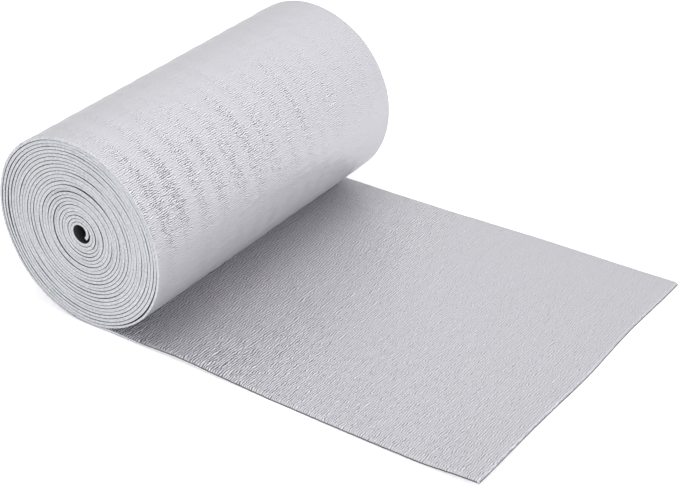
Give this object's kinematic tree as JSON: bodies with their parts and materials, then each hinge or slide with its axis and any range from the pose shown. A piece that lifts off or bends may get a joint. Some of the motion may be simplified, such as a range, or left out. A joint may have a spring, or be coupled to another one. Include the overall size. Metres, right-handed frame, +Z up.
{
  "type": "insulation roll",
  "caption": "Coreless roll of silver film-faced foam sheet lying on its side, wound in a spiral, with its outer end unrolled flat on the floor; used as thermal insulation.",
  "frame": {"origin": "on the floor, under the middle of the whole length and of the width", "axes": "+X along the unrolled length, from the roll to the free end; +Y along the roll's axis; +Z up"},
  "size_m": [0.7264, 0.5, 0.2699],
  "materials": {
    "film_faced_foam": "satin"
  },
  "bodies": {
    "root": {"insulation_roll": "film_faced_foam"}
  },
  "joints": []
}
